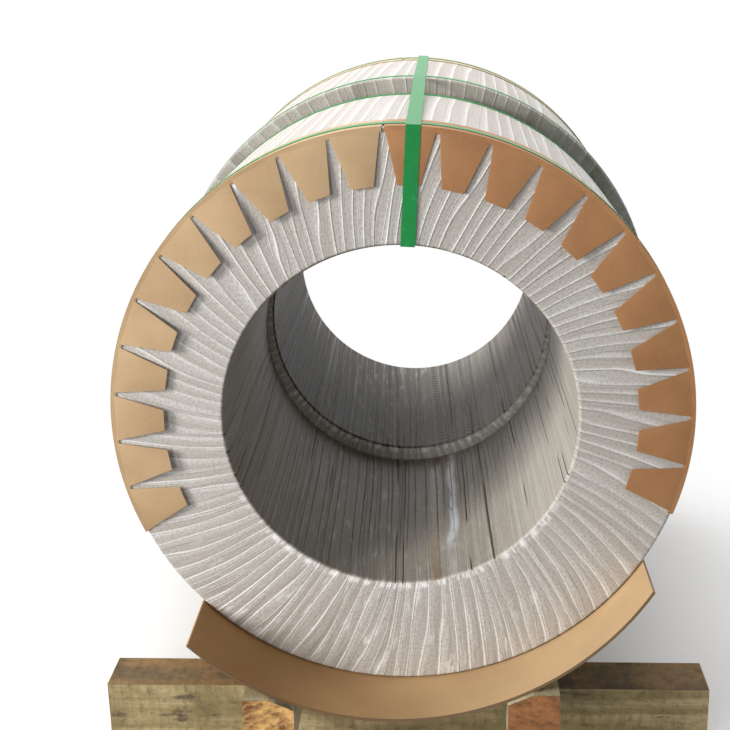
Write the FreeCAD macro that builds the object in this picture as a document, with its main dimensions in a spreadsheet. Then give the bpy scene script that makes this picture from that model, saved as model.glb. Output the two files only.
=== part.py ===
import FreeCAD, Part
import os

import Sketcher

os.makedirs("parts", exist_ok=True)

doc = FreeCAD.newDocument("coil_pack")
sheet = doc.addObject("Spreadsheet::Sheet", "Sizes")

# Driving sizes, in millimetres and degrees.
sizes = [
    ("timber_height", 90),
    ("timber_depth", 80),
    ("timber_length", 930),
    ("timber_setback", 470),
    ("bearer_height", 73),
    ("bearer_length", 1244),
    ("bearer_slip", 10),
    ("bearer_inner", 152),
    ("bearer_outer", 225),
    ("bevel_end", 188),
    ("bevel_drop", 16),
    ("axis_height", 537),
    ("coil_width", 495),
    ("coil_gap", 1),
    ("wrap_thickness", 2),
    ("front_outer", 411),
    ("front_bore", 254.5),
    ("rear_outer", 422.5),
    ("rear_bore", 246),
    ("rear_shift", 3),
    ("rear_lift", 14),
    ("board", 2),
    ("comb_leg", 75),
    ("comb_band", 10),
    ("tooth_length", 78),
    ("tooth_pitch", 10.2),
    ("tooth_count", 11),
    ("root_half", 34.5),
    ("tip_half", 15),
    ("left_middle", -148.7),
    ("right_middle", -36.1),
    ("strap_width", 20),
    ("strap_thickness", 0.9),
    ("slack", 0.05),
    ("strap_turn", 3.3),
    ("ring_inset", 18),
    ("comb_ring_inset", 40),
    ("pad_thickness", 4),
    ("pad_gap", 1),
    ("pad_length", 594),
    ("pad_out", 314.5),
    ("pad_middle", -276),
    ("pad_sweep", 104),
    ("pad_skew", 3.1),
]
for row, (alias, number) in enumerate(sizes, start=1):
    sheet.set("A%d" % row, alias)
    sheet.set("B%d" % row, str(number))
    sheet.setAlias("B%d" % row, alias)
doc.recompute()

MADE = []


def size(alias):
    """The sheet's number for a named size."""
    return float(getattr(sheet, alias))


def origin_part(body, role):
    """One plane or axis of a body's own origin."""
    for feature in body.Origin.OriginFeatures:
        if feature.Role == role:
            return feature
    raise RuntimeError("no origin feature " + role)


def new_body(label):
    """An empty body that will be written out under its label."""
    body = doc.addObject("PartDesign::Body", label)
    body.Label = label
    MADE.append(body)
    return body


def outline(body, name, role, corners, turn=0):
    """A closed polygon; each corner is a pair of expressions measured from the origin."""
    sketch = body.newObject("Sketcher::SketchObject", name)
    sketch.AttachmentSupport = [(origin_part(body, role), "")]
    sketch.MapMode = "FlatFace"
    about = FreeCAD.Rotation(FreeCAD.Vector(0, 1, 0), turn)
    sketch.AttachmentOffset = FreeCAD.Placement(FreeCAD.Vector(0, 0, 0), about)
    count = len(corners)
    start = []
    for index in range(count):
        turn = FreeCAD.Rotation(FreeCAD.Vector(0, 0, 1), 360.0 * index / count)
        start.append(turn.multVec(FreeCAD.Vector(100, 0, 0)))
    for index in range(count):
        ahead = start[(index + 1) % count]
        sketch.addGeometry(Part.LineSegment(start[index], ahead), False)
    for index in range(count):
        following = (index + 1) % count
        sketch.addConstraint(Sketcher.Constraint("Coincident", index, 2, following, 1))
    for index, (across, along) in enumerate(corners):
        first = Sketcher.Constraint("DistanceX", -1, 1, index, 1, start[index].x)
        place = sketch.addConstraint(first)
        sketch.renameConstraint(place, "across%d" % index)
        sketch.setExpression("Constraints.across%d" % index, across)
        second = Sketcher.Constraint("DistanceY", -1, 1, index, 1, start[index].y)
        place = sketch.addConstraint(second)
        sketch.renameConstraint(place, "along%d" % index)
        sketch.setExpression("Constraints.along%d" % index, along)
    doc.recompute()
    return sketch


def oblong(low_across, low_along, high_across, high_along):
    """Corners of a rectangle from its two opposite corners."""
    return [
        (low_across, low_along),
        (high_across, low_along),
        (high_across, high_along),
        (low_across, high_along),
    ]


def turned(body, name, corners, sweep=None, cut=False, turn=0):
    """A profile turned about the body's Y axis, all round or over a centred sweep."""
    sketch = outline(body, name + "_profile", "XY_Plane", corners, turn)
    kind = "PartDesign::Groove" if cut else "PartDesign::Revolution"
    feature = body.newObject(kind, name)
    feature.Profile = sketch
    feature.ReferenceAxis = (origin_part(body, "Y_Axis"), [""])
    if sweep is None:
        feature.Angle = 360
    else:
        feature.Midplane = True
        feature.setExpression("Angle", sweep)
    doc.recompute()
    return feature


def hang(body, turn, rear):
    """Put a body on the front or the rear coil's axis, turned about it."""
    about = FreeCAD.Rotation(FreeCAD.Vector(0, 1, 0), turn)
    body.Placement = FreeCAD.Placement(FreeCAD.Vector(0, 0, 0), about)
    if rear:
        body.setExpression(".Placement.Base.x", "Sizes.rear_shift")
        body.setExpression(".Placement.Base.z", "Sizes.axis_height + Sizes.rear_lift")
    else:
        body.setExpression(".Placement.Base.z", "Sizes.axis_height")


# Expressions shared by several pieces.
WRAP = "Sizes.wrap_thickness"
FULL = "Sizes.coil_gap + Sizes.coil_width + 2 * Sizes.wrap_thickness"

# The two coils: each one a turned ring of wound strip.
for end, sign in (("front", "-1"), ("rear", "1")):
    bore = "Sizes." + end + "_bore"
    outer = "Sizes." + end + "_outer"
    near = sign + " * (Sizes.coil_gap + Sizes.wrap_thickness)"
    far = sign + " * (Sizes.coil_gap + Sizes.wrap_thickness + Sizes.coil_width)"
    coil = new_body(end + "_coil")
    turned(coil, end + "_winding", oblong(bore, near, outer, far))
    hang(coil, 0, end == "rear")

    # The tape wound through the eye: a closed skin all round the ring.
    wrap = new_body(end + "_wrap")
    start = sign + " * Sizes.coil_gap"
    stop = sign + " * (" + FULL + ")"
    skin = oblong(bore + " - " + WRAP, start, outer + " + " + WRAP, stop)
    turned(wrap, end + "_skin", skin)
    turned(wrap, end + "_hollow", oblong(bore, near, outer, far), cut=True)
    hang(wrap, 0, end == "rear")


def comb(label, end, sign, middle):
    """A strip of notched board folded over the rim, its teeth lying on the face."""
    body = new_body(label)
    rim = "Sizes." + end + "_outer + Sizes.wrap_thickness"
    face = sign + " * (" + FULL + ")"
    front = sign + " * (" + FULL + " + Sizes.board)"
    back = sign + " * (" + FULL + " - Sizes.comb_leg)"
    sweep = "Sizes.tooth_pitch * Sizes.tooth_count"
    leg = oblong(rim, back, rim + " + Sizes.board", front)
    turned(body, label + "_leg", leg, sweep)
    band = oblong(rim + " - Sizes.comb_band", face, rim, front)
    turned(body, label + "_band", band, sweep)
    tip = rim + " - Sizes.tooth_length"
    root = rim + " - Sizes.comb_band / 2"
    corners = [
        (tip, "-Sizes.tip_half"),
        (root, "-Sizes.root_half"),
        (root, "Sizes.root_half"),
        (tip, "Sizes.tip_half"),
    ]
    sketch = outline(body, label + "_tooth", "XZ_Plane", corners)
    back_turn = size("tooth_pitch") * (size("tooth_count") - 1) / 2
    out = size("coil_gap") + size("coil_width") + 2 * size("wrap_thickness")
    if end == "rear":
        out = -out - size("board")
    sketch.AttachmentOffset = FreeCAD.Placement(
        FreeCAD.Vector(0, 0, out), FreeCAD.Rotation(FreeCAD.Vector(0, 0, 1), back_turn))
    pad = body.newObject("PartDesign::Pad", label + "_blade")
    pad.Profile = sketch
    pad.setExpression("Length", "Sizes.board")
    doc.recompute()
    ring = body.newObject("PartDesign::PolarPattern", label + "_teeth")
    ring.Originals = [pad]
    ring.Axis = (origin_part(body, "Y_Axis"), [""])
    ring.Angle = size("tooth_pitch") * (size("tooth_count") - 1)
    ring.setExpression("Angle", "Sizes.tooth_pitch * (Sizes.tooth_count - 1)")
    ring.setExpression("Occurrences", "Sizes.tooth_count")
    body.Tip = ring
    doc.recompute()
    hang(body, size(middle), end == "rear")
    return body


comb("front_comb_left", "front", "-1", "left_middle")
comb("front_comb_right", "front", "-1", "right_middle")
comb("rear_comb_left", "rear", "1", "left_middle")
comb("rear_comb_right", "rear", "1", "right_middle")


def plain_ring(label, end, sign):
    """A flat strap round the outside of one coil, beside the joint."""
    body = new_body(label)
    rim = "Sizes." + end + "_outer + Sizes.wrap_thickness + Sizes.slack"
    near = sign + " * Sizes.ring_inset"
    far = sign + " * (Sizes.ring_inset + Sizes.strap_width)"
    turned(body, label + "_band", oblong(rim, near, rim + " + Sizes.strap_thickness", far))
    hang(body, 0, end == "rear")
    return body


plain_ring("front_ring_inner", "front", "-1")
plain_ring("rear_ring_inner", "rear", "1")


def comb_ring(label, end, sign):
    """A flat strap that runs over the combs and, below them, on the wrap."""
    body = new_body(label)
    rim = "Sizes." + end + "_outer + Sizes.wrap_thickness + Sizes.slack"
    over = rim + " + Sizes.board"
    near = sign + " * (" + FULL + " - Sizes.comb_ring_inset)"
    far = sign + " * (" + FULL + " - Sizes.comb_ring_inset + Sizes.strap_width)"
    covered = "2 * Sizes.tooth_pitch * Sizes.tooth_count"
    half = size("tooth_pitch") * size("tooth_count")
    high = oblong(over, near, over + " + Sizes.strap_thickness", far)
    turned(body, label + "_over", high, covered + " + 1.2")
    for word, turn in (("left", half + 0.4), ("right", -half - 0.4)):
        step = oblong(rim, near, over + " + Sizes.strap_thickness", far)
        turned(body, label + "_step_" + word, step, "0.4", turn=turn)
    low = oblong(rim, near, rim + " + Sizes.strap_thickness", far)
    turned(body, label + "_under", low, "360 - " + covered + " - 0.5", turn=180)
    hang(body, (size("left_middle") + size("right_middle")) / 2, end == "rear")
    return body


comb_ring("front_ring_outer", "front", "-1")
comb_ring("rear_ring_outer", "rear", "1")

# The strap drawn through the eye: a flat closed loop over the top of both coils.
FACE = "(" + FULL + " + Sizes.board + Sizes.slack)"
FRONT_RIM = "Sizes.front_outer + Sizes.wrap_thickness"
REAR_RIM = "Sizes.rear_lift + Sizes.rear_outer + Sizes.wrap_thickness"
RISE = " + Sizes.strap_thickness + 2 * Sizes.slack"
THICK = "Sizes.strap_thickness"
front_eye = "(Sizes.front_bore - Sizes.wrap_thickness - Sizes.slack)"
rear_eye = "(Sizes.rear_lift + Sizes.rear_bore - Sizes.wrap_thickness - Sizes.slack)"
crest = "(" + REAR_RIM + RISE + ")"
inside = [
    ("-" + FACE, front_eye),
    ("0", front_eye),
    ("0", rear_eye),
    (FACE, rear_eye),
    (FACE, crest + " + Sizes.board + 0.9"),
    ("Sizes.ring_inset - 3", crest + " + 0.7"),
    ("-" + FACE, FRONT_RIM + " + Sizes.board" + RISE),
]
outside = [
    ("-" + FACE + " - " + THICK, front_eye + " - " + THICK),
    (THICK, front_eye + " - " + THICK),
    (THICK, rear_eye + " - " + THICK),
    (FACE + " + " + THICK, rear_eye + " - " + THICK),
    (FACE + " + " + THICK, crest + " + Sizes.board + 0.9 + " + THICK),
    ("Sizes.ring_inset - 3", crest + " + 0.7 + " + THICK),
    ("-" + FACE + " - " + THICK, FRONT_RIM + " + Sizes.board" + RISE + " + " + THICK),
]
loop = new_body("eye_strap")
loop_edge = outline(loop, "loop_outside", "YZ_Plane", outside)
loop_pad = loop.newObject("PartDesign::Pad", "loop_full")
loop_pad.Profile = loop_edge
loop_pad.Midplane = True
loop_pad.setExpression("Length", "Sizes.strap_width")
doc.recompute()
loop_hole = outline(loop, "loop_inside", "YZ_Plane", inside)
loop_cut = loop.newObject("PartDesign::Pocket", "loop_opening")
loop_cut.Profile = loop_hole
loop_cut.Type = 1
loop_cut.Midplane = True
doc.recompute()
hang(loop, size("strap_turn"), False)


def cradle(label, end, sign):
    """One sheet of board curved under a coil, laid slightly askew."""
    body = doc.addObject("PartDesign::Body", label + "_sheet")
    inner = "Sizes." + end + "_outer + Sizes.wrap_thickness + Sizes.pad_gap"
    outer = inner + " + Sizes.pad_thickness"
    reach = "2 * Sizes.pad_length"
    turned(body, label + "_curve", oblong(inner, "-" + reach, outer, reach), "Sizes.pad_sweep")
    hang(body, size("pad_middle"), end == "rear")
    width = 1100
    height = 700
    length = size("pad_length")
    block = doc.addObject("Part::Box", label + "_trim")
    block.Length = width
    block.Height = height
    block.setExpression("Width", "Sizes.pad_length")
    askew = FreeCAD.Rotation(FreeCAD.Vector(0, 0, 1), size("pad_skew"))
    corner = askew.multVec(FreeCAD.Vector(-width / 2, -length / 2, 0))
    middle_y = float(sign) * size("pad_out")
    block.Placement = FreeCAD.Placement(corner + FreeCAD.Vector(0, middle_y, 0), askew)
    sheet_part = doc.addObject("Part::Common", label)
    sheet_part.Label = label
    sheet_part.Base = body
    sheet_part.Tool = block
    doc.recompute()
    MADE.append(sheet_part)
    return sheet_part


cradle("front_pad", "front", "-1")
cradle("rear_pad", "rear", "1")

# The timber skid: two bevelled bearers on two cross timbers.
low = "Sizes.timber_height"
top = "(Sizes.timber_height + Sizes.bearer_height)"
for word, side in (("left", "-1"), ("right", "1")):
    bearer = new_body("bearer_" + word)
    section = [
        (side + " * Sizes.bearer_inner", low),
        (side + " * Sizes.bearer_outer", low),
        (side + " * Sizes.bearer_outer", top),
        (side + " * Sizes.bevel_end", top),
        (side + " * Sizes.bearer_inner", top + " - Sizes.bevel_drop"),
    ]
    sketch = outline(bearer, "bearer_%s_section" % word, "XZ_Plane", section)
    stick = bearer.newObject("PartDesign::Pad", "bearer_%s_stick" % word)
    stick.Profile = sketch
    stick.Midplane = True
    stick.setExpression("Length", "Sizes.bearer_length")
    bearer.setExpression(".Placement.Base.y", side + " * Sizes.bearer_slip")
    doc.recompute()

for word, side in (("front", "-1"), ("rear", "1")):
    timber = doc.addObject("Part::Box", "cross_timber_" + word)
    timber.Label = "cross_timber_" + word
    timber.setExpression("Length", "Sizes.timber_length")
    timber.setExpression("Width", "Sizes.timber_depth")
    timber.setExpression("Height", "Sizes.timber_height")
    timber.setExpression(".Placement.Base.x", "-Sizes.timber_length / 2")
    if word == "front":
        timber.setExpression(".Placement.Base.y", "-Sizes.timber_setback")
    else:
        timber.setExpression(".Placement.Base.y", "Sizes.timber_setback - Sizes.timber_depth")
    MADE.append(timber)

doc.recompute()

for piece in MADE:
    if "Invalid" in piece.State or "Error" in piece.State:
        raise RuntimeError(piece.Label + " did not build")
    shape = piece.Shape
    if shape.isNull() or not shape.isValid():
        raise RuntimeError(piece.Label + " has a bad shape")
    box = shape.BoundBox
    print("%-18s %10.0f cm3  solids %d  x %.1f %.1f  y %.1f %.1f  z %.1f %.1f" % (
        piece.Label, shape.Volume / 1000.0, len(shape.Solids),
        box.XMin, box.XMax, box.YMin, box.YMax, box.ZMin, box.ZMax))
    shape.exportStep("parts/" + piece.Label + ".step")
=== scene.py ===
import math

import bpy
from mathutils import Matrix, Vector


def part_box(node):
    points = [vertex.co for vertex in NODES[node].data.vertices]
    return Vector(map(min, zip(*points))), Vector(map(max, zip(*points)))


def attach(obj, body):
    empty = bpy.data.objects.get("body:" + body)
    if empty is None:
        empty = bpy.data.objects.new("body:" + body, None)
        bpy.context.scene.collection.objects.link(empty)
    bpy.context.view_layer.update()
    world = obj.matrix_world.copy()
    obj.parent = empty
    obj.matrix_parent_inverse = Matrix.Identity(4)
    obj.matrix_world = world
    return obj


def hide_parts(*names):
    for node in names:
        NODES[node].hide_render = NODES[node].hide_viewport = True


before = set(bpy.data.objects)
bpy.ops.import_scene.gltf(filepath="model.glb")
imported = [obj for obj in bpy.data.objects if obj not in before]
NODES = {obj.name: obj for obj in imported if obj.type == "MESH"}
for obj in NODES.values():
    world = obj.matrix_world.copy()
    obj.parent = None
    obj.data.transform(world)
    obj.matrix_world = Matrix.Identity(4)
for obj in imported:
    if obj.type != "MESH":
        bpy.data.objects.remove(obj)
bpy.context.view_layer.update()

TURN = 2 * math.pi
FRONT_Z = 0.537
FRONT_BORE = 0.2525
REAR_X, REAR_Z = 0.003, 0.551
REAR_BORE = 0.244
RIM = 0.4148
BOARD_Y = -0.5012
TOOTH_COUNT = 11
PITCH = math.radians(10.2)
PAD_LEAN = 0.0542
PAD_FRONT = -0.612
SKID_HALF_WIDTH = 0.465
SKID_TOP = 0.09
NO_TOP = 0.4


# ---------------------------------------------------------------- material graph

class Wire:
    """One output socket, with arithmetic that adds Math nodes."""

    def __init__(self, graph, socket):
        self.graph = graph
        self.socket = socket

    def __add__(self, other):
        return self.graph.math("ADD", self, other)

    def __radd__(self, other):
        return self.graph.math("ADD", other, self)

    def __sub__(self, other):
        return self.graph.math("SUBTRACT", self, other)

    def __rsub__(self, other):
        return self.graph.math("SUBTRACT", other, self)

    def __mul__(self, other):
        return self.graph.math("MULTIPLY", self, other)

    def __rmul__(self, other):
        return self.graph.math("MULTIPLY", other, self)

    def __truediv__(self, other):
        return self.graph.math("DIVIDE", self, other)

    def __rtruediv__(self, other):
        return self.graph.math("DIVIDE", other, self)


class Graph:
    """A new material and its node tree."""

    def __init__(self, name):
        self.material = bpy.data.materials.new(name)
        self.material.use_nodes = True
        self.tree = self.material.node_tree
        self.shader = self.tree.nodes["Principled BSDF"]
        place = self.tree.nodes.new("ShaderNodeTexCoord")
        self.place = Wire(self, place.outputs["Object"])
        split = self.node("ShaderNodeSeparateXYZ", Vector=self.place)
        self.x = Wire(self, split.outputs["X"])
        self.y = Wire(self, split.outputs["Y"])
        self.z = Wire(self, split.outputs["Z"])

    def feed(self, socket, value):
        """Link a wire to a socket, or set the socket to a number or colour."""
        if isinstance(value, Wire):
            self.tree.links.new(value.socket, socket)
        elif isinstance(value, tuple) and len(value) == 3 and socket.type == "RGBA":
            socket.default_value = value + (1.0,)
        else:
            socket.default_value = value

    def node(self, kind, settings=None, **inputs):
        """Add a node: its settings first, then its sockets by name."""
        made = self.tree.nodes.new(kind)
        for key, value in (settings or {}).items():
            setattr(made, key, value)
        for key, value in inputs.items():
            self.feed(made.inputs[key.replace("_", " ")], value)
        return made

    def math(self, operation, first, second=0.0):
        made = self.node("ShaderNodeMath", {"operation": operation})
        self.feed(made.inputs[0], first)
        self.feed(made.inputs[1], second)
        return Wire(self, made.outputs[0])

    def vector(self, across, along, up):
        made = self.node("ShaderNodeCombineXYZ", X=across, Y=along, Z=up)
        return Wire(self, made.outputs[0])

    def noise(self, place, scale, detail=3.0, roughness=0.5):
        made = self.node("ShaderNodeTexNoise", Vector=place, Scale=scale, Detail=detail,
                         Roughness=roughness)
        return Wire(self, made.outputs["Fac"])

    def step(self, value, start, stop, low=0.0, high=1.0):
        """A smooth ramp from low at start to high at stop."""
        made = self.node("ShaderNodeMapRange", {"interpolation_type": "SMOOTHSTEP"},
                         Value=value)
        for index, number in enumerate((start, stop, low, high), start=1):
            made.inputs[index].default_value = number
        return Wire(self, made.outputs[0])

    def dice(self, value):
        """A steady chance value for each whole number."""
        made = self.node("ShaderNodeTexWhiteNoise", {"noise_dimensions": "1D"}, W=value)
        return Wire(self, made.outputs["Value"])

    def mix(self, amount, first, second, blend="MIX"):
        made = self.node("ShaderNodeMix", {"data_type": "RGBA", "blend_type": blend})
        self.feed(made.inputs[0], amount)
        self.feed(made.inputs[6], first)
        self.feed(made.inputs[7], second)
        return Wire(self, made.outputs[2])

    def bump(self, height, distance, strength=1.0):
        made = self.node("ShaderNodeBump", Height=height, Distance=distance,
                         Strength=strength)
        return Wire(self, made.outputs[0])

    def near(self, value, centre, inner, outer):
        """One within inner of a centre, fading to nothing at outer."""
        return self.step(self.math("ABSOLUTE", value - centre), inner, outer, 1.0, 0.0)

    def tint(self, tone, factors):
        """The tone multiplied by a colour."""
        return self.mix(1.0, tone, factors, "MULTIPLY")

    def finish(self, colour, roughness, normal=None, **constants):
        """Feed the shader; the constants are set on its own sockets."""
        self.feed(self.shader.inputs["Base Color"], colour)
        self.feed(self.shader.inputs["Roughness"], roughness)
        if normal is not None:
            self.feed(self.shader.inputs["Normal"], normal)
        for key, value in constants.items():
            self.feed(self.shader.inputs[key.replace("_", " ")], value)
        return self.material


def tape(name, middle_x, middle_z, bore, turns, lean, film):
    """Creased tape wound through an eye: near-radial laps, each with a bright edge.

    The laps are counted round the eye. Film is one on the coil that has loose film
    in its eye, and nothing on the other. It also picks the painted light and shade in each eye.
    """
    g = Graph(name)
    across = g.x - middle_x
    up = g.z - middle_z
    angle = g.math("ARCTAN2", up, across)
    reach = g.math("SQRT", across * across + up * up)

    # the laps: which one this is, and how far across it
    slow = g.noise(g.vector(across, 0.0, up), 2.6, 1.0)
    quick = g.noise(g.vector(across / reach, 0.0, up / reach), 7.0, 1.0)
    drift = g.noise(g.place, 1.7, 1.0)
    lap = angle * (turns / TURN) + (reach - bore) * lean + g.y * 1.6
    lap = lap + (slow - 0.5) * 3.2 + (quick - 0.5) * 1.5 + (drift - 0.5) * 0.9
    part = g.math("FRACT", lap)
    count = g.math("FLOOR", lap)
    chance = g.dice(count)
    other = g.dice(count + 0.37)
    third = g.dice(count + 0.71)

    # the marks each lap carries: its edge, a painted shadow beside it, a crease, a painted
    # highlight
    edge = g.near(part, 0.13, 0.0, 0.05) * chance
    edge = edge + g.near(part, 0.13, 0.0, 0.10) * (1.0 - chance)
    edge_shadow = g.step(part, 0.0, 0.07, 1.0, 0.0)
    crease = g.near(part, chance * 0.45 + 0.35, 0.0, 0.045) * g.step(third, 0.3, 0.5)
    lap_highlight = g.near(part, 0.16, 0.02, 0.34)

    # the uneven surface along and across the laps
    streak = g.noise(g.vector(lap * 5.0, reach * 7.0, g.y * 4.0), 1.3, 4.0, 0.6)
    patch = g.noise(g.vector(count * 7.3, reach * 9.0, g.y * 4.0), 1.0, 1.0)
    crumple = g.noise(g.vector(lap * 1.3, reach * 16.0, g.y * 14.0), 1.0, 4.0, 0.65)
    weave = g.noise(g.place, 250.0, 2.0, 0.7)
    fade = g.noise(g.vector(count * 3.1, reach * 13.0, g.y * 9.0), 1.0, 2.0)

    # where on the coil: the low part, the eye, the outer skin, the shaded wall of the eye for
    # painted shade, and the lit wall of the front eye for painted light
    low = g.step(up, -0.10, -0.36)
    inside = g.step(reach, bore + 0.0015, bore + 0.004, 1.0, 0.0)
    skin = g.step(reach, bore + 0.150, bore + 0.158)
    calm = 1.0 - inside * 0.55 - skin * 0.35
    # on the rear coil, the marks on its front face, seen as a band between the two coils, are
    # dimmed as painted shade
    if film < 0.5:
        calm = calm * g.step(g.y, 0.006, 0.014, 0.35, 1.0)
    shaded_wall = g.step(across, -0.10, 0.19, 1.0, 0.0) * inside
    right = g.step(across, 0.12, 0.22) * inside * film
    floor_side = g.step(up, -0.17, -0.225) * inside * film
    streak = streak * (1.0 - inside * 0.7) + inside * 0.35

    # the plain tape, with painted highlights, painted shade and painted light laid over it
    tone = g.mix(streak, (0.42, 0.385, 0.345), (0.74, 0.715, 0.68))
    tone = g.mix(g.step(part, 0.1, 1.0) * 0.45, tone, (0.33, 0.30, 0.265))
    tone = g.mix(chance * 0.45, tone, (0.62, 0.60, 0.57))
    tone = g.mix(other * 0.3, tone, (0.40, 0.345, 0.295))
    tone = g.mix(g.step(slow, 0.4, 0.7) * 0.3, tone, (0.38, 0.32, 0.27))
    # a painted highlight near each lap's edge, weaker inside the eye
    tone = g.mix(lap_highlight * 0.32 * (1.0 - inside * 0.5), tone, (0.84, 0.83, 0.82))
    tone = g.mix(g.step(weave, 0.42, 0.64) * 0.42, tone, (0.25, 0.23, 0.205))
    if film < 0.5:
        # painted shade on the rear coil's front face, seen as a band between the two coils,
        # deeper in patches
        band = g.step(g.y, 0.006, 0.014, 1.0, 0.0) * g.step(reach, 0.30, 0.36)
        tone = g.mix(band * 0.55, tone, (0.33, 0.30, 0.26))
        tone = g.mix(band * g.step(patch, 0.5, 0.7) * 0.4, tone, (0.14, 0.12, 0.10))
        # near-black painted shade on the shaded wall of the rear eye
        tone = g.mix(shaded_wall * 0.94, tone, (0.040, 0.028, 0.014))
    # brown painted shade on the shaded wall of the front eye
    tone = g.mix(shaded_wall * film * 0.56, tone, (0.062, 0.047, 0.020))
    # painted light on the lit wall of the front eye
    tone = g.mix(right * 0.4, tone, (0.86, 0.84, 0.81))

    # bright edges and creases, painted shadows beside the edges, painted glitter low on the coil,
    # painted glints at the lip of the eye, and patchy painted shade inside the eye
    tone = g.mix(edge * calm * g.step(fade, 0.34, 0.6, 0.2, 0.78), tone, (0.92, 0.91, 0.90))
    tone = g.mix(crease * calm * g.step(fade, 0.4, 0.6) * 0.6, tone, (0.88, 0.87, 0.85))
    # a painted shadow beside each lap's edge
    tone = g.mix(edge_shadow * g.step(other, 0.3, 0.9) * calm * 0.32, tone, (0.07, 0.058, 0.048))
    tone = g.mix(low * g.step(crumple, 0.55, 0.7) * 0.6, tone, (0.93, 0.92, 0.91))
    tone = g.mix(low * g.step(streak, 0.5, 0.34) * 0.4, tone, (0.24, 0.205, 0.17))
    glint = g.near(reach, bore + 0.007, 0.0, 0.008)
    glint = glint * g.step(crumple, 0.46, 0.58) * g.step(up, -0.08, -0.16)
    tone = g.mix(glint * 0.8, tone, (0.97, 0.96, 0.96))
    shade = g.mix(g.step(streak, 0.3, 0.6), (0.62, 0.58, 0.49), (0.98, 0.96, 0.92))
    tone = g.mix(inside, tone, g.tint(tone, shade))

    # inside the eye: painted glossy reflections on the shaded wall, rows of dashes and open slits
    eye_reflection = g.noise(g.vector(lap * 1.9, g.y * 1.2, 0.0), 1.0, 2.0)
    tone = g.mix(g.step(eye_reflection, 0.58, 0.70) * shaded_wall * (0.5 - film * 0.25), tone, (0.62, 0.64, 0.66))
    dash = g.near(g.math("FRACT", g.y * 58.0), 0.5, 0.18, 0.28) * g.near(part, 0.6, 0.16, 0.28)
    dash = dash * g.step(other, 0.40, 0.48) * g.step(patch, 0.34, 0.44)
    tone = g.mix(dash * inside * (0.85 - film * 0.85), tone, (0.02, 0.017, 0.013))
    split = g.near(part, 0.55, 0.03, 0.11)
    split = split * g.step(third, 0.74, 0.78) * g.step(patch, 0.42, 0.50) * inside
    tone = g.mix(split * 0.95, tone, (0.012, 0.010, 0.008))

    # loose film along the bottom of the eye, one pale run and one brown
    sway = (g.noise(g.vector(across * 4.0, g.y * 5.0, 0.0), 1.0, 2.0, 0.5) - 0.5) * 0.022
    pale = g.near(across + sway, 0.077, 0.002, 0.010)
    brown = g.near(across + sway, 0.050, 0.002, 0.014) * g.step(crumple, 0.36, 0.5)
    pale = pale * g.step(crumple, 0.34, 0.5) * g.step(g.y, -0.44, -0.30, 0.2, 1.0)
    tone = g.mix(pale * floor_side * 0.9, tone, (0.80, 0.85, 0.90))
    tone = g.mix(brown * floor_side * 0.8, tone, (0.25, 0.17, 0.085))

    rise = part * 0.5 + edge * 0.5 + crease * 0.45 + streak * 0.5
    rise = rise + crumple * (low * 0.9 + 0.3) - edge_shadow * 0.4 - split * 0.9 + weave * 0.16
    rough = 0.43 - low * 0.14 + weave * 0.1 - (pale + brown) * floor_side * 0.22
    return g.finish(tone, rough, g.bump(rise, 0.0017, 0.75),
                    Specular_IOR_Level=0.15 + film * 0.25)


def board(name, dark, light, turns, end=None):
    """Kraft board: fibre flecks, soft mottling and faint scoring.

    End is where a pad's front edge lies: there it darkens, with painted shade to the left and
    painted light to the right.
    """
    g = Graph(name)
    fibre = g.noise(g.vector(g.x * 2.0, g.y * 0.6, g.z * 2.0), 160.0, 4.0, 0.6)
    mottle = g.noise(g.place, 9.0, 3.0)
    fleck = g.noise(g.place, 700.0, 1.0)
    line = g.step(g.math("FRACT", g.y * turns), 0.0, 0.12, 1.0, 0.0)
    tone = g.mix(g.step(mottle, 0.25, 0.75), dark, light)
    tone = g.mix(g.step(fibre, 0.3, 0.7) * 0.4, tone, light)
    tone = g.mix(g.step(fleck, 0.58, 0.72) * 0.5, tone, dark)
    tone = g.mix(line * 0.08, tone, dark)
    if end is not None:
        lip = g.step(g.y - g.x * PAD_LEAN, end + 0.0006, end + 0.0016, 1.0, 0.0)
        # painted shade on the pad's left and painted light on its right
        lit_side = g.step(g.x, -0.30, 0.30)
        tone = g.mix((1.0 - lit_side) * 0.55, tone, (0.27, 0.11, 0.022))
        tone = g.mix(lit_side * 0.4, tone, (0.66, 0.50, 0.32))
        tone = g.mix(lip * 0.85, tone, (0.10, 0.055, 0.025))
    height = fibre * 0.5 + fleck * 0.3 + mottle
    return g.finish(tone, 0.62 + fibre * 0.2, g.bump(height, 0.0006, 0.6))


def strapping(name, tint, deep):
    """Glossy plastic strap with a fine rolled pattern and a few scuffs."""
    g = Graph(name)
    rib = g.math("SINE", (g.x + g.y + g.z) * 2600.0)
    scuff = g.noise(g.place, 60.0, 4.0, 0.7)
    tone = g.mix(scuff, deep, tint)
    tone = g.mix(g.step(scuff, 0.62, 0.8) * 0.4, tone, (0.25, 0.62, 0.34))
    return g.finish(tone, 0.24 + scuff * 0.2, g.bump(rib * 0.3 + scuff, 0.0003, 0.5),
                    Coat_Weight=0.1, Coat_Roughness=0.12, Specular_IOR_Level=0.2)


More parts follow.
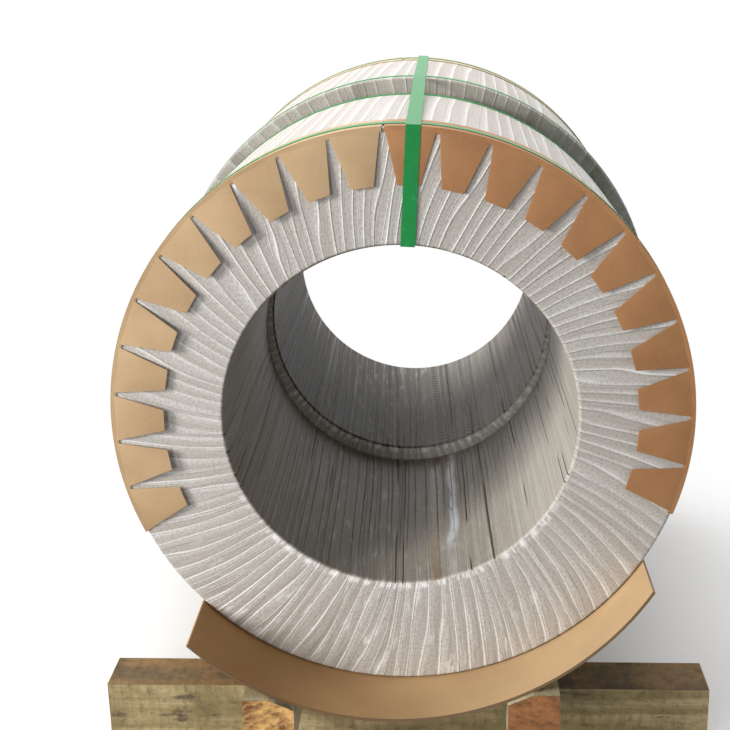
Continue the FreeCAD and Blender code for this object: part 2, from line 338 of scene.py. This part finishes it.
def timber(name, along, pale, deep, stain, end_low, end_high, end_tint, top):
    """Rough sawn timber: grain along its length, saw marks, stains and cut ends.

    Top is the height of an upper face darkened as painted shade, or NO_TOP where there is none.
    """
    g = Graph(name)
    if along == "X":
        length = g.x
        grain_place = g.vector(g.x * 0.7, g.y * 16.0, g.z * 16.0)
    else:
        length = g.y
        grain_place = g.vector(g.x * 16.0, g.y * 0.7, g.z * 16.0)
    wander = g.noise(g.place, 4.0, 3.0)
    grain = g.noise(grain_place, 1.5, 5.0, 0.62)
    vein = g.math("SINE", (grain + wander * 0.4) * 46.0) * 0.5 + 0.5
    saw = g.math("SINE", (length + (wander - 0.5) * 0.05) * 420.0) * 0.5 + 0.5
    band = g.noise(g.vector(g.x * 1.5, g.y * 1.5, g.z * 26.0), 1.6, 3.0, 0.6)
    blot = g.noise(g.place, 11.0, 4.0, 0.6)
    mark = g.noise(g.vector(g.x, g.y, g.z * 3.2), 13.0, 4.0, 0.6)

    # sawn faces
    tone = g.mix(grain, deep, pale)
    tone = g.mix(vein * 0.3, tone, deep)
    tone = g.mix(g.step(band, 0.44, 0.60) * 0.6, tone, stain)
    tone = g.mix(g.step(blot, 0.45, 0.62) * 0.6, tone, stain)
    tone = g.mix(g.step(mark, 0.57, 0.66) * 0.8, tone, (0.045, 0.032, 0.02))
    tone = g.mix(g.step(saw, 0.72, 0.98) * g.step(blot, 0.36, 0.56) * 0.4, tone, deep)

    # the upper face, darkened as painted shade from the coil and pads above, with blots, grain
    # and marks of its own
    shaded_top = g.mix(g.step(blot, 0.38, 0.62), (0.035, 0.022, 0.012), (0.24, 0.145, 0.065))
    shaded_top = g.mix(g.step(grain, 0.46, 0.62) * 0.5, shaded_top, (0.32, 0.17, 0.055))
    shaded_top = g.mix(g.step(wander, 0.48, 0.62) * 0.5, shaded_top, (0.12, 0.105, 0.045))
    shaded_top = g.mix(g.step(mark, 0.52, 0.60) * 0.7, shaded_top, (0.02, 0.014, 0.009))
    tone = g.mix(g.step(g.z, top - 0.0012, top - 0.0004) * 0.85, tone, shaded_top)

    # the cut ends
    cut = g.step(length, end_low + 0.0008, end_low + 0.0014, 1.0, 0.0)
    cut = cut + g.step(length, end_high - 0.0014, end_high - 0.0008)
    rings = g.noise(g.vector(g.x, length * 0.1, g.z * 1.4), 34.0, 4.0, 0.65)
    ring = g.math("SINE", g.math("SQRT", g.x * g.x * 0.4 + g.z * g.z) * 620.0 + rings * 14.0)
    end = g.mix(g.step(rings, 0.35, 0.65), (0.16, 0.065, 0.02), end_tint)
    end = g.mix(ring * 0.25, end, tuple(min(1.0, shade * 1.45) for shade in end_tint))
    tone = g.mix(cut, tone, end)

    # fine pits and fibres all over
    pit = g.noise(g.place, 95.0, 4.0, 0.72)
    tone = g.mix(g.step(pit, 0.50, 0.66) * 0.45, tone, g.tint(tone, (0.36, 0.32, 0.27)))
    tone = g.mix(g.step(pit, 0.46, 0.34) * 0.3, tone, g.tint(tone, (1.5, 1.5, 1.45)))
    height = grain * 0.7 + pit * 0.5 + saw * 0.18 + blot * 0.3 + rings * cut * 0.8
    return g.finish(tone, 0.72 + grain * 0.15, g.bump(height, 0.0016, 0.8))


def strip(name):
    """Mill-finish strip: fine rolling lines and a soft haze."""
    g = Graph(name)
    lines = g.noise(g.vector(g.x * 60.0, g.y, g.z * 60.0), 30.0, 2.0)
    haze = g.noise(g.place, 6.0, 3.0)
    tone = g.mix(haze, (0.72, 0.73, 0.75), (0.86, 0.87, 0.88))
    g.shader.inputs["Metallic"].default_value = 1.0
    return g.finish(tone, 0.28 + lines * 0.15, g.bump(lines, 0.0002, 0.4))


# ---------------------------------------------------------------- modelling steps

def settle():
    """Put the active piece's place, turn and size into its mesh."""
    bpy.ops.object.transform_apply(location=True, rotation=True, scale=True)


def open_on(piece, wanted):
    """Enter edit mode with only the wanted faces selected."""
    mesh = piece.data
    for item in list(mesh.vertices) + list(mesh.edges):
        item.select = False
    for face in mesh.polygons:
        face.select = wanted(face)
    bpy.context.tool_settings.mesh_select_mode = (False, False, True)
    bpy.ops.object.mode_set(mode="EDIT")


def close_up():
    """Turn every face outwards and leave edit mode."""
    bpy.ops.mesh.select_all(action="SELECT")
    bpy.ops.mesh.normals_make_consistent(inside=False)
    bpy.ops.object.mode_set(mode="OBJECT")


# ---------------------------------------------------------------- tape wraps

def ring_skin(name, node, middle_x, middle_z, bore, material):
    """A hollow ring with eased edges, made from a cylinder the size of its node."""
    low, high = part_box(node)
    outer = (high[0] - low[0]) / 2
    depth = high[1] - low[1]
    place = (middle_x, (low[1] + high[1]) / 2, middle_z)
    bpy.ops.mesh.primitive_cylinder_add(vertices=240, radius=outer, depth=depth, location=place,
                                        rotation=(math.pi / 2, 0, 0))
    piece = bpy.context.active_object
    piece.name = name
    settle()
    open_on(piece, lambda face: len(face.vertices) > 4)
    bpy.ops.mesh.inset(thickness=outer - bore, depth=0)
    bpy.ops.mesh.bridge_edge_loops()
    bpy.ops.mesh.select_mode(type="EDGE")
    bpy.ops.mesh.select_all(action="DESELECT")
    bpy.ops.mesh.edges_select_sharp(sharpness=math.radians(60))
    bpy.ops.mesh.bevel(offset=0.005, segments=3, affect="EDGES")
    close_up()
    bpy.ops.object.shade_smooth_by_angle(angle=math.radians(50))
    keep = piece.modifiers.new("even_shading", "WEIGHTED_NORMAL")
    keep.keep_sharp = True
    bpy.ops.object.modifier_apply(modifier=keep.name)
    piece.data.materials.append(material)
    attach(piece, "root")
    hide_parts(node)


front_tape = tape("wound tape, front", 0.0, FRONT_Z, FRONT_BORE, 112, 11.0, 1.0)
rear_tape = tape("wound tape, rear", REAR_X, REAR_Z, REAR_BORE, 108, -5.0, 0.0)
ring_skin("front_tape_wrap", "front_wrap", 0.0, FRONT_Z, FRONT_BORE, front_tape)
ring_skin("rear_tape_wrap", "rear_wrap", REAR_X, REAR_Z, REAR_BORE, rear_tape)

# ---------------------------------------------------------------- board combs

def about_eye(angle, middle_x, middle_z):
    """Turn the active piece about a coil's axis and settle it."""
    bpy.ops.transform.rotate(value=angle, orient_axis="Y",
                             center_override=(middle_x, 0, middle_z))
    settle()


def swept_bar(name, inner, near, far, sweep):
    """A thin bar out to the rim, bent round the front coil's axis from twelve o'clock."""
    bpy.ops.mesh.primitive_cube_add(size=1, location=(0.0005, (near + far) / 2,
                                                      FRONT_Z + (inner + RIM) / 2))
    piece = bpy.context.active_object
    piece.name = name
    piece.scale = (0.001, far - near, RIM - inner)
    settle()
    open_on(piece, lambda face: face.normal.x > 0.9)
    bpy.ops.mesh.spin(steps=6 * TOOTH_COUNT, angle=sweep, center=(0, 0, FRONT_Z), axis=(0, 1, 0))
    close_up()
    return piece


def blade(name):
    """One tooth at twelve o'clock: a tapered board, wide at the rim."""
    bpy.ops.mesh.primitive_cube_add(size=1, location=(0, BOARD_Y, FRONT_Z + 0.372))
    piece = bpy.context.active_object
    piece.name = name
    piece.scale = (0.0690, 0.0016, 0.074)
    settle()
    open_on(piece, lambda face: face.normal.z < -0.9)
    bpy.ops.transform.resize(value=(0.445, 1, 1))
    bpy.ops.mesh.select_all(action="SELECT")
    bpy.ops.mesh.bevel(offset=0.0004, segments=1, affect="EDGES")
    close_up()
    return piece


FIRST = blade("tooth_pattern")


def front_comb(name, node, middle, material, lifts):
    """Leg, folded rim and eleven teeth, each lifted by its own small angle."""
    sweep = TOOTH_COUNT * PITCH
    start = math.radians(middle - 90) - sweep / 2
    leg = swept_bar(name + "_leg", 0.4131, -0.5020, -0.425, sweep)
    about_eye(start, 0, FRONT_Z)
    band = swept_bar(name + "_band", 0.4068, -0.5019, -0.5004, sweep)
    about_eye(start, 0, FRONT_Z)
    parts = [leg, band]
    for index, lift in enumerate(lifts):
        bpy.ops.object.select_all(action="DESELECT")
        FIRST.select_set(True)
        bpy.context.view_layer.objects.active = FIRST
        bpy.ops.object.duplicate()
        tooth = bpy.context.active_object
        bpy.ops.transform.rotate(value=math.radians(lift), orient_axis="X",
                                 center_override=(0, BOARD_Y, FRONT_Z + 0.408))
        settle()
        about_eye(start + (index + 0.5) * PITCH, 0, FRONT_Z)
        parts.append(tooth)
    bpy.ops.object.select_all(action="DESELECT")
    for piece in parts:
        piece.select_set(True)
    bpy.context.view_layer.objects.active = leg
    bpy.ops.object.join()
    leg.name = name
    ease = leg.modifiers.new("fold", "BEVEL")
    ease.width = 0.0006
    ease.segments = 2
    ease.limit_method = "ANGLE"
    bpy.ops.object.modifier_apply(modifier=ease.name)
    bpy.ops.object.shade_smooth_by_angle(angle=math.radians(30))
    leg.data.materials.clear()
    leg.data.materials.append(material)
    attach(leg, "root")
    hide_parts(node)


left_board = board("light kraft board", (0.37, 0.235, 0.118), (0.51, 0.35, 0.195), 30)
right_board = board("brown kraft board", (0.28, 0.125, 0.045), (0.42, 0.205, 0.082), 30)
front_comb("front_comb_left_board", "front_comb_left", 148.7, left_board,
           (3.0, 5.0, 6.0, 8.0, 6.5, 5.0, 8.0, 4.5, 7.0, 8.0, 5.0))
front_comb("front_comb_right_board", "front_comb_right", 36.1, right_board,
           (4.5, 6.5, 3.5, 8.0, 6.0, 4.0, 7.0, 5.0, 3.5, 3.0, 0.0))
bpy.data.objects.remove(FIRST, do_unlink=True)

# ---------------------------------------------------------------- materials on the frame

far_board = board("grey kraft board", (0.36, 0.30, 0.19), (0.50, 0.42, 0.28), 30)
pad_board = board("pad board", (0.37, 0.20, 0.075), (0.55, 0.34, 0.14), 14, PAD_FRONT)
green = strapping("green strap", (0.010, 0.27, 0.062), (0.005, 0.18, 0.038))
# a paler copy of the green strap, for the rear coil's outer ring
olive = strapping("paler green strap", (0.12, 0.26, 0.07), (0.06, 0.16, 0.04))
metal = strip("rolled strip")
cross_wood = timber("cross timber", "X", (0.56, 0.46, 0.25), (0.20, 0.14, 0.06),
                    (0.15, 0.115, 0.04), -SKID_HALF_WIDTH, SKID_HALF_WIDTH,
                    (0.50, 0.28, 0.09), SKID_TOP)
left_wood = timber("left bearer timber", "Y", (0.66, 0.62, 0.48), (0.40, 0.33, 0.20),
                   (0.30, 0.25, 0.12), -0.632, 0.612, (0.68, 0.40, 0.14), NO_TOP)
right_wood = timber("right bearer timber", "Y", (0.60, 0.55, 0.40), (0.36, 0.29, 0.17),
                    (0.28, 0.24, 0.12), -0.612, 0.632, (0.31, 0.125, 0.042), NO_TOP)

finishes = {
    "front_coil": metal, "rear_coil": metal,
    "front_wrap": front_tape, "rear_wrap": rear_tape,
    "front_comb_left": left_board, "front_comb_right": right_board,
    "rear_comb_left": far_board, "rear_comb_right": far_board,
    "front_ring_inner": green, "rear_ring_inner": green, "front_ring_outer": green,
    "rear_ring_outer": olive, "eye_strap": green,
    "front_pad": pad_board, "rear_pad": pad_board,
    "bearer_left": left_wood, "bearer_right": right_wood,
    "cross_timber_front": cross_wood, "cross_timber_rear": cross_wood,
}
for node, finish in finishes.items():
    holder = NODES[node]
    holder.data.materials.clear()
    holder.data.materials.append(finish)

# ---------------------------------------------------------------- floor, light, camera

bpy.ops.mesh.primitive_plane_add(size=30, location=(0, 0, 0))
floor = bpy.context.active_object
floor.name = "floor"
g = Graph("pale floor")
grit = g.noise(g.place, 30.0, 3.0)
away = g.math("SQRT", g.x * g.x + g.y * g.y)
fade = g.step(away, 0.60, 1.0, 1.0, 0.0)
g.feed(g.shader.inputs["Alpha"], fade * 0.85)
floor.data.materials.append(g.finish(g.mix(grit, (0.86, 0.86, 0.86), (0.9, 0.9, 0.9)), 0.9))


def lamp(name, place, target, wide, power, tint):
    """A soft rectangular lamp aimed at a point."""
    bpy.ops.object.light_add(type="AREA", location=place)
    light = bpy.context.active_object
    light.name = name
    light.data.size = wide
    light.data.energy = power
    light.data.color = tint
    aim = [goal - start for goal, start in zip(target, place)]
    flat = math.hypot(aim[0], aim[1])
    light.rotation_euler = (math.atan2(flat, -aim[2]), 0, math.atan2(-aim[0], aim[1]))


lamp("key lamp", (-3.4, -2.6, 1.8), (0, -0.4, 0.5), 1.3, 175, (1.0, 0.985, 0.96))
lamp("top lamp", (-0.2, 0.9, 3.4), (0, 0.1, 0.9), 2.4, 120, (1.0, 0.99, 0.98))
lamp("eye lamp", (-1.5, -3.4, 1.0), (0.1, -0.3, 0.4), 1.0, 30, (1.0, 0.99, 0.97))
lamp("fill lamp", (2.8, -2.8, 1.6), (0, -0.4, 0.5), 2.2, 12, (0.95, 0.97, 1.0))

world = bpy.data.worlds.new("studio")
bpy.context.scene.world = world
world.use_nodes = True
tree = world.node_tree
tree.nodes.clear()
seen = tree.nodes.new("ShaderNodeLightPath")
blend = tree.nodes.new("ShaderNodeMixShader")
straight = seen.outputs["Is Camera Ray"]
for ray in ("Is Glossy Ray", "Is Transmission Ray"):
    either = tree.nodes.new("ShaderNodeMath")
    either.operation = "MAXIMUM"
    tree.links.new(straight, either.inputs[0])
    tree.links.new(seen.outputs[ray], either.inputs[1])
    straight = either.outputs[0]
tree.links.new(straight, blend.inputs[0])
backdrops = (((0.93, 0.96, 1.0, 1.0), 0.20), ((1.0, 1.0, 1.0, 1.0), 1.0))
for index, (colour, strength) in enumerate(backdrops, start=1):
    backdrop = tree.nodes.new("ShaderNodeBackground")
    backdrop.inputs["Color"].default_value = colour
    backdrop.inputs["Strength"].default_value = strength
    tree.links.new(backdrop.outputs[0], blend.inputs[index])
result = tree.nodes.new("ShaderNodeOutputWorld")
tree.links.new(blend.outputs[0], result.inputs["Surface"])

bpy.ops.object.camera_add(location=(0.0609, -2.2168, 1.1462),
                          rotation=(1.27372, 0.02199, 0.05627))
camera = bpy.context.active_object
camera.data.sensor_width = 36.0
camera.data.lens = 63.2
bpy.context.scene.camera = camera
bpy.context.scene.view_settings.view_transform = "Standard"
